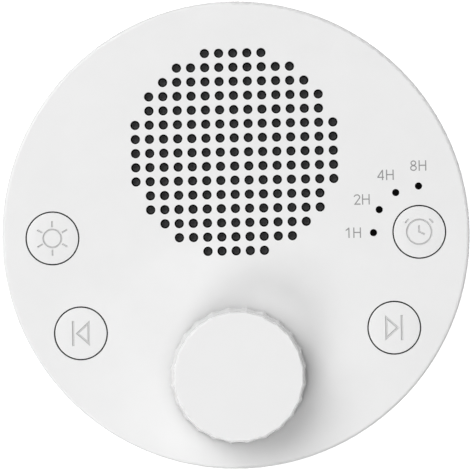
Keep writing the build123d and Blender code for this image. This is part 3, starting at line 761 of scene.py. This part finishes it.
# --- Buttons ---
class SOUND_OT_buttons(Operator):
    """Model the four button caps with their engraved marks"""

    bl_idname = "sound_machine.buttons"
    bl_label = "Buttons"

    RADIUS = 6.1 * MM
    SIDES = 128
    EDGE = 0.2 * MM
    WALL = 1.3 * MM
    SKIRT_HEIGHT = 2.5 * MM
    COLLAR_HEIGHT = 1.1 * MM
    STEM_RADIUS = 2.2 * MM
    MARK_REACH = 5.5 * MM
    MARK_SLACK = 0.01 * MM
    WHITE_HEIGHT = 0.05 * MM

    def cap(self, name):
        """Hollow cap: skirt, collar below the face, and a stem over the switch."""
        place = middle_of(name + "_button")
        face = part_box(name + "_button")[1].z
        collar_top = face - self.SKIRT_HEIGHT
        deselect_all()
        bpy.ops.mesh.primitive_cylinder_add(
            vertices=self.SIDES,
            radius=self.RADIUS,
            depth=face - collar_top,
            location=(place.x, place.y, (face + collar_top) / 2),
        )
        bpy.ops.object.transform_apply(location=True)
        cap = start_piece(name + "_cap")
        pick(cap, "EDGE", lambda edge: min(vert.co.z for vert in edge.verts) > face - TOUCH)
        bpy.ops.mesh.bevel(offset=self.EDGE, segments=5, affect="EDGES")
        pick(cap, "FACE", lambda side: max(vert.co.z for vert in side.verts) < collar_top + TOUCH)
        radius, level = self.RADIUS, collar_top
        for new_radius, new_level in (
            (radius_of(name + "_button"), collar_top - self.COLLAR_HEIGHT),
            (self.RADIUS - self.WALL, face - self.WALL),
            (self.STEM_RADIUS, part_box(name + "_plunger")[1].z),
        ):
            scale = new_radius / radius
            bpy.ops.mesh.extrude_region_move()
            bpy.ops.transform.resize(value=(scale, scale, 1), center_override=place)
            bpy.ops.mesh.extrude_region_move(
                TRANSFORM_OT_translate={"value": (0, 0, new_level - level)}
            )
            radius, level = new_radius, new_level
        bpy.ops.object.mode_set(mode="OBJECT")
        settle(cap)
        return cap, place

    def finish_cap(self, cap, place, settings, shell):
        """White face, grey painted shade on the floor of the marks, and a near-black skirt below
        the face as painted shade in the seam round the cap.
        """
        white = moulded_plastic(
            "cap_white", shell.cap_colour, 0.4, shell.grain, 0.001 * MM, shell.edge_radius, 0.006
        )
        # Painted shade: the floor of each engraved mark is grey.
        groove_shade = moulded_plastic("mark_grey", settings.mark_shade_colour, 0.6, 0.1 * MM, 0.004 * MM)
        # Painted shade: the cap below the face is near black, so the seam round the cap reads dark.
        black = moulded_plastic("skirt_black", (0.03, 0.03, 0.03), 0.6, 0.2 * MM)
        shaded_skirt_top = FACE_LEVEL - self.WHITE_HEIGHT
        mark_top = FACE_LEVEL - self.MARK_SLACK
        mark_low = mark_top - settings.depth

        def in_mark(face):
            centre = face.calc_center_median()
            near = (centre.xy - place.xy).length < self.MARK_REACH
            return near and mark_low < centre.z < mark_top

        def in_shaded_skirt(face):
            return face.calc_center_median().z < shaded_skirt_top and not in_mark(face)

        dress(cap, white)
        dress_faces(cap, groove_shade, in_mark)
        # The skirt, collar and stem take the painted shade.
        dress_faces(cap, black, in_shaded_skirt)

    def execute(self, context):
        shell = context.scene.sound_shell
        settings = context.scene.sound_marks
        for name, outlines in (
            ("light", sun_outlines(settings.fine_stroke)),
            ("timer", clock_outlines(settings.fine_stroke)),
            ("previous", skip_outlines(settings.bold_stroke, -1)),
            ("next", skip_outlines(settings.bold_stroke, 1)),
        ):
            cap, place = self.cap(name)
            face = (place.x, place.y, FACE_LEVEL)
            cutter = flat_shape(name + "_mark", outlines, 2 * settings.depth, face, settings.slope)
            apply_modifier(cap, "BOOLEAN", operation="DIFFERENCE", solver="EXACT", object=cutter)
            bpy.data.objects.remove(cutter)
            activate(cap)
            bpy.ops.object.shade_smooth_by_angle(angle=SMOOTH_ANGLE)
            self.finish_cap(cap, place, settings, shell)
            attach(cap, name + "_key")
            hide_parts(name + "_button")
            stem = moulded_plastic(name + "_switch_stem", (0.04, 0.04, 0.04), 0.45)
            dress(name + "_plunger", stem)
        return {"FINISHED"}


# --- Timer lights and hours ---
class SOUND_OT_timer(Operator):
    """Finish the timer lights and print the hours beside them"""

    bl_idname = "sound_machine.timer"
    bl_label = "Timer lights and hours"

    # Figure of each hour and its centre on the face, in millimetres.
    HOURS = {
        "hour_8H": (figure_eight, 43.1, 15.57),
        "hour_4H": (figure_four, 35.39, 13.51),
        "hour_2H": (figure_two, 29.69, 7.85),
        "hour_1H": (figure_one, 27.58, 0.07),
    }
    LETTER_START = 0.79

    def smoked_lens(self):
        """Smoked plastic, almost black until its light shines through."""
        finish = Finish("smoked_lens", roughness=0.7, specular_ior_level=0.02)
        haze = finish.noise(0.5 * MM, 3.0)
        return finish.follow(haze, tones((0.001, 0.001, 0.001), 1, 3), gloss=(0.6, 0.75))

    def ink(self, colour):
        """Printed ink that covers a little unevenly."""
        finish = Finish("hour_ink", roughness=0.55)
        cover = finish.noise(0.2 * MM, 4.0)
        return finish.follow(cover, tones(colour, 0.9, 1.15), 0.002 * MM)

    def print_hour(self, name, figure, centre, settings, ink):
        """A figure and its H as a thin film of ink, centred on its place on the face."""
        outlines = figure + letter_h(self.LETTER_START)
        across = [x for outline in outlines for x, y in outline]
        middle = (min(across) + max(across)) / 2
        height = settings.hour_height
        shift = (centre[0] - middle * height, centre[1] - height / 2)
        film = settings.ink_thickness
        level = FACE_LEVEL + film / 2
        mark = flat_shape(name, scaled(outlines, height, shift), film, (0, 0, level))
        dress(mark, ink)
        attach(mark, "drum")

    def execute(self, context):
        settings = context.scene.sound_marks
        dress("timer_lens", self.smoked_lens())
        ink = self.ink(settings.ink_colour)
        for name, (figure, x, y) in self.HOURS.items():
            self.print_hour(name, figure(), (x * MM, y * MM), settings, ink)
        return {"FINISHED"}


# --- Acoustic mesh ---
class SOUND_OT_acoustic_mesh(Operator):
    """Stretch the woven acoustic mesh behind the grille"""

    bl_idname = "sound_machine.acoustic_mesh"
    bl_label = "Acoustic mesh"

    SIDES = 96
    RIM_SHARE = 0.1
    THICKNESS_SHARE = 0.8

    def weave(self, settings):
        """Plain weave of black thread, with open corners and painted shade round the rim of every
        grille hole.
        """
        finish = Finish("woven_mesh", roughness=0.8, specular_ior_level=0.06, sheen_weight=0.05)
        threads = finish.weave(settings.thread_pitch)
        fibre = finish.vary(finish.noise(0.08 * MM, 3.0), 0.7, 1.2)
        body = finish.maths("MULTIPLY", finish.vary(threads, 0, 1, 0.5, 0.85), fibre)
        colour = settings.mesh_colour
        cloth = finish.mix(body, tinted(colour, 0.2), tinted(colour, 1.6))
        # Painted shade darkens the cloth round each hole's rim.
        finish.colour(finish.mix(self.rim_shade(finish, settings), cloth, tinted(colour, 0.08)))
        finish.bump(threads, settings.thread_height)
        return finish.material

    def rim_shade(self, finish, settings):
        """Share of painted shade on the cloth, outside a round patch under every hole of the
        grille.
        """
        offsets = finish.offsets(middle_of("acoustic_mesh"))
        half_pitch = settings.hole_pitch / 2
        away = finish.length([finish.maths("PINGPONG", offset, half_pitch) for offset in offsets])
        start = settings.rim_shade_radius
        return finish.vary(away, 0, 1, start, start + settings.rim_shade_fade)

    def execute(self, context):
        low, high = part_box("acoustic_mesh")
        radius = radius_of("acoustic_mesh")
        deselect_all()
        bpy.ops.mesh.primitive_circle_add(
            vertices=self.SIDES, radius=radius, fill_type="NGON", location=(low + high) / 2
        )
        cloth = start_piece("acoustic_cloth")
        bpy.ops.mesh.select_all(action="SELECT")
        bpy.ops.mesh.inset(thickness=radius * self.RIM_SHARE)
        bpy.ops.mesh.poke()
        bpy.ops.object.mode_set(mode="OBJECT")
        thickness = (high.z - low.z) * self.THICKNESS_SHARE
        apply_modifier(cloth, "SOLIDIFY", thickness=thickness, offset=0)
        settle(cloth)
        dress(cloth, self.weave(context.scene.sound_speaker))
        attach(cloth, "drum")
        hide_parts("acoustic_mesh")
        return {"FINISHED"}


# --- Speaker ---
class SOUND_OT_speaker(Operator):
    """Finish the speaker and model its surround and spider, the parts that give as the cone of the
    real speaker moves
    """

    bl_idname = "sound_machine.speaker"
    bl_label = "Speaker"

    SMOOTH_ANGLE = radians(50)
    SURROUND_STEPS = 14
    SPIDER_STEPS = 50

    def spun(self, name, profile, centre, steps):
        """Closed profile of (radius, level) corners turned about the speaker's axis."""
        deselect_all()
        bpy.ops.mesh.primitive_plane_add(size=1.0)
        piece = start_piece(name)
        bpy.ops.mesh.select_all(action="SELECT")
        bpy.ops.mesh.delete(type="VERT")
        shape = bmesh.from_edit_mesh(piece.data)
        corners = [(centre.x + radius, centre.y, level) for radius, level in profile]
        shape.faces.new([shape.verts.new(corner) for corner in corners])
        bmesh.update_edit_mesh(piece.data)
        bpy.ops.mesh.select_all(action="SELECT")
        bpy.ops.mesh.spin(steps=steps, angle=2 * pi, center=(centre.x, centre.y, 0), axis=(0, 0, 1))
        pick(piece, "FACE", lambda face: len(face.verts) == len(profile))
        bpy.ops.mesh.delete(type="FACE")
        bpy.ops.object.mode_set(mode="OBJECT")
        settle(piece, self.SMOOTH_ANGLE)
        return piece

    def ring(self, name, node, inner, wall, levels, settings):
        """Thin ring in a node's place, whose underside follows levels at even steps outwards."""
        outer = radius_of(node)
        last = len(levels) - 1
        under = [
            (inner + (outer - inner) * (index / last), level) for index, level in enumerate(levels)
        ]
        over = [(radius, level + wall) for radius, level in reversed(under)]
        return self.spun(name, under + over, middle_of(node), settings.round_steps)

    def surround(self, settings):
        """Rubber roll between the cone's edge and the frame."""
        low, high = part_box("cone_surround")
        wall = settings.surround_wall
        levels = []
        for index in range(self.SURROUND_STEPS + 1):
            share = index / self.SURROUND_STEPS
            levels.append(low.z + (high.z - wall - low.z) * (1 - cos(pi * share)) / 2)
        inner = radius_of("speaker_cone")
        piece = self.ring("surround_roll", "cone_surround", inner, wall, levels, settings)
        dress(piece, rubber("surround_rubber", (0.02, 0.02, 0.022), 0.6))
        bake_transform(piece)
        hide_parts("cone_surround")

    def spider(self, settings):
        """Corrugated cloth disc that centres the coil."""
        low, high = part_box("cone_spider")
        wall = settings.spider_wall
        levels = []
        for index in range(self.SPIDER_STEPS + 1):
            share = index / self.SPIDER_STEPS
            fall = (high.z - wall) + (low.z - high.z + wall) * share
            wave = sin(2 * pi * settings.spider_waves * share) * sin(pi * share)
            levels.append(fall + settings.spider_swell * wave)
        inner = radius_of("voice_coil")
        piece = self.ring("spider_cloth", "cone_spider", inner, wall, levels, settings)
        dress(piece, self.treated_cloth(settings))
        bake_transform(piece)
        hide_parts("cone_spider")

    def treated_cloth(self, settings):
        """Resin-treated cotton weave."""
        finish = Finish("treated_cloth", roughness=0.65, sheen_weight=0.2)
        threads = finish.weave(settings.spider_pitch)
        shades = (0.35, 0.2, 0.06, 1), (0.66, 0.44, 0.18, 1)
        return finish.follow(threads, shades, settings.thread_height, spread=(0.5, 1.0))

    def pulp(self):
        """Pressed paper pulp with short fibres."""
        finish = Finish("cone_pulp", roughness=0.85)
        fibre = finish.noise(0.25 * MM, 6.0, (1, 1, 3))
        return finish.follow(fibre, ((0.03, 0.03, 0.031, 1), (0.07, 0.07, 0.072, 1)), 0.03 * MM)

    def winding(self, settings):
        """Enamelled copper wire, wound turn by turn."""
        finish = Finish("coil_copper", roughness=0.3, metallic=1.0)
        turns = finish.ripple(finish.axes()[2], settings.wire_pitch)
        shades = (0.25, 0.09, 0.03, 1), (0.75, 0.36, 0.17, 1)
        return finish.follow(turns, shades, 0.06 * MM, spread=(0.2, 0.9))

    def execute(self, context):
        settings = context.scene.sound_speaker
        painted = worked_metal(
            "frame_black", (0.035, 0.035, 0.037), 0.5, size=0.6 * MM, metallic=0.0
        )
        zinc = worked_metal("speaker_zinc", (0.58, 0.58, 0.56), 0.35)
        ferrite = worked_metal(
            "ground_ferrite", (0.06, 0.06, 0.063), 0.6, streak=(1, 8, 1), metallic=0.2
        )
        pulp = self.pulp()
        shades = (0.012, 0.012, 0.013, 1), (0.055, 0.055, 0.057, 1)
        dress("speaker_gasket", foam("gasket_foam", shades, 0.5 * MM, 0.1 * MM, 0.95))
        dress("speaker_frame", painted)
        dress("speaker_top_plate", zinc)
        dress("speaker_yoke", zinc)
        dress("speaker_magnet", ferrite)
        dress("speaker_cone", pulp)
        dress("dust_cap", pulp)
        dress("voice_coil", self.winding(settings))
        self.surround(settings)
        self.spider(settings)
        return {"FINISHED"}


# --- Electronics ---
class SOUND_OT_electronics(Operator):
    """Finish the boards and everything soldered to them"""

    bl_idname = "sound_machine.electronics"
    bl_label = "Electronics"

    TRACK_SPACING = 1.6 * MM
    VIA_SPACING = 3.7 * MM
    TIN = (0.62, 0.6, 0.52, 1)

    def board(self, name, mask, trace):
        """Solder mask over fine tracks, with tinned vias."""
        finish = Finish(name, roughness=0.35, coat_weight=0.2, coat_roughness=0.2)
        grid = {"Vector": finish.place, "Scale": 1 / self.TRACK_SPACING, "Randomness": 0.35}
        gaps = finish.add("ShaderNodeTexVoronoi", grid, feature="DISTANCE_TO_EDGE").outputs[0]
        tracks = finish.vary(gaps, 1, 0, 0.06, 0.09)
        vias = finish.vary(finish.cells(self.VIA_SPACING), 1, 0, 0.05, 0.07)
        masked = finish.mix(tracks, tinted(mask, 1), tinted(trace, 1))
        finish.colour(finish.mix(vias, masked, self.TIN))
        finish.bump(finish.maths("MAXIMUM", tracks, vias), 0.015 * MM)
        return finish.material

    def phosphor(self, node):
        """Grains of yellow phosphor under clear resin."""
        finish = Finish(
            node + "_phosphor", roughness=0.4, subsurface_weight=0.2, subsurface_scale=0.5 * MM
        )
        grains = finish.noise(0.15 * MM, 4.0)
        return finish.follow(grains, ((0.88, 0.7, 0.18, 1), (0.93, 0.84, 0.4, 1)), 0.01 * MM)

    def execute(self, context):
        green = self.board("green_mask", (0.012, 0.16, 0.07), (0.016, 0.2, 0.085))
        epoxy = moulded_plastic("chip_epoxy", (0.02, 0.02, 0.022), 0.55, 0.15 * MM, 0.004 * MM)
        dress("main_board", green)
        dress("usb_board", green)
        dress("light_board", self.board("white_mask", (0.82, 0.83, 0.8), (0.79, 0.8, 0.77)))
        dress("board_chips", epoxy)
        can = worked_metal("can_aluminium", (0.7, 0.71, 0.72), 0.25, (1, 1, 14))
        dress("board_capacitors", can)
        dress("board_connectors", moulded_plastic("natural_nylon", (0.84, 0.81, 0.72), 0.4))
        dress("switch_bodies", moulded_plastic("switch_black", (0.03, 0.03, 0.032), 0.5))
        for node in ("night_lamps", "timer_lamps"):
            dress(node, self.phosphor(node))
        return {"FINISHED"}


# --- Supply ---
class SOUND_OT_supply(Operator):
    """Finish the cell, its pad and the charging socket"""

    bl_idname = "sound_machine.supply"
    bl_label = "Cell and socket"

    # From the socket's middle to its tinned shell.
    HALF_HEIGHT = 0.6 * MM
    HALF_WIDTH = 3.6 * MM
    FADE = 0.05 * MM

    def socket(self):
        """Tinned shell round a black tongue."""
        finish = Finish("socket_tin", roughness=0.25, metallic=1.0)
        axes = finish.axes()
        rise = finish.maths("SUBTRACT", axes[2], middle_of("usb_socket").z)
        outside = [
            finish.vary(finish.maths("ABSOLUTE", offset), 0, 1, start, start + self.FADE)
            for offset, start in ((rise, self.HALF_HEIGHT), (axes[0], self.HALF_WIDTH))
        ]
        scratches = finish.noise(0.3 * MM, 4.0, (6, 1, 1))
        tin = finish.mix(finish.vary(scratches, 0, 1), (0.58, 0.57, 0.54, 1), (0.7, 0.69, 0.66, 1))
        shell = finish.maths("MAXIMUM", *outside)
        finish.colour(finish.mix(shell, (0.012, 0.012, 0.013, 1), tin))
        finish.roughness(finish.vary(scratches, 0.16, 0.34))
        finish.bump(scratches, 0.002 * MM)
        return finish.material

    def cell_film(self):
        """Creased shrink film round the cell."""
        finish = Finish("cell_film", roughness=0.25, coat_weight=0.4, coat_roughness=0.1)
        creases = finish.noise(5 * MM, 3.0, (1, 0.4, 2))
        shades = (0.06, 0.16, 0.36, 1), (0.12, 0.26, 0.5, 1)
        return finish.follow(creases, shades, 0.25 * MM, gloss=(0.2, 0.35))

    def execute(self, context):
        shades = (0.6, 0.59, 0.55, 1), (0.78, 0.77, 0.73, 1)
        dress("cell", self.cell_film())
        dress("cell_pad", foam("tape_foam", shades, 0.35 * MM, 0.05 * MM, 0.9))
        dress("usb_socket", self.socket())
        return {"FINISHED"}


# --- Fasteners ---
class SOUND_OT_fasteners(Operator):
    """Finish the screws"""

    bl_idname = "sound_machine.fasteners"
    bl_label = "Fasteners"

    def execute(self, context):
        zinc = worked_metal("screw_zinc", (0.6, 0.6, 0.57), 0.3)
        for group in ("housing", "speaker", "board", "light_board", "usb_board"):
            dress(group + "_screws", zinc)
        return {"FINISHED"}


# --- Panel and run ---
OPERATORS = (
    SOUND_OT_stage,
    SOUND_OT_housing,
    SOUND_OT_knob,
    SOUND_OT_buttons,
    SOUND_OT_timer,
    SOUND_OT_acoustic_mesh,
    SOUND_OT_speaker,
    SOUND_OT_electronics,
    SOUND_OT_supply,
    SOUND_OT_fasteners,
)
SETTINGS = {
    "sound_studio": StudioSettings,
    "sound_shell": ShellSettings,
    "sound_marks": MarkSettings,
    "sound_speaker": SpeakerSettings,
}


class SOUND_PT_sidebar(Panel):
    """Buttons for every piece and the settings they use"""

    bl_idname = "SOUND_PT_sidebar"
    bl_label = "Sound Machine"
    bl_space_type = "VIEW_3D"
    bl_region_type = "UI"
    bl_category = "Sound Machine"

    def draw(self, context):
        for operator in OPERATORS:
            self.layout.operator(operator.bl_idname)
        for name, group in SETTINGS.items():
            box = self.layout.box()
            for prop in group.__annotations__:
                box.prop(getattr(context.scene, name), prop)


def register():
    """Register the settings, the operators and the panel."""
    for group in SETTINGS.values():
        bpy.utils.register_class(group)
    for name, group in SETTINGS.items():
        setattr(bpy.types.Scene, name, PointerProperty(type=group))
    for operator in OPERATORS:
        bpy.utils.register_class(operator)
    bpy.utils.register_class(SOUND_PT_sidebar)


def unregister():
    """Take back what register added, in reverse order."""
    bpy.utils.unregister_class(SOUND_PT_sidebar)
    for operator in reversed(OPERATORS):
        bpy.utils.unregister_class(operator)
    for name, group in SETTINGS.items():
        delattr(bpy.types.Scene, name)
        bpy.utils.unregister_class(group)


def main():
    register()
    for operator in OPERATORS:
        getattr(bpy.ops.sound_machine, operator.bl_idname.split(".")[1])()


if __name__ == "__main__":
    main()
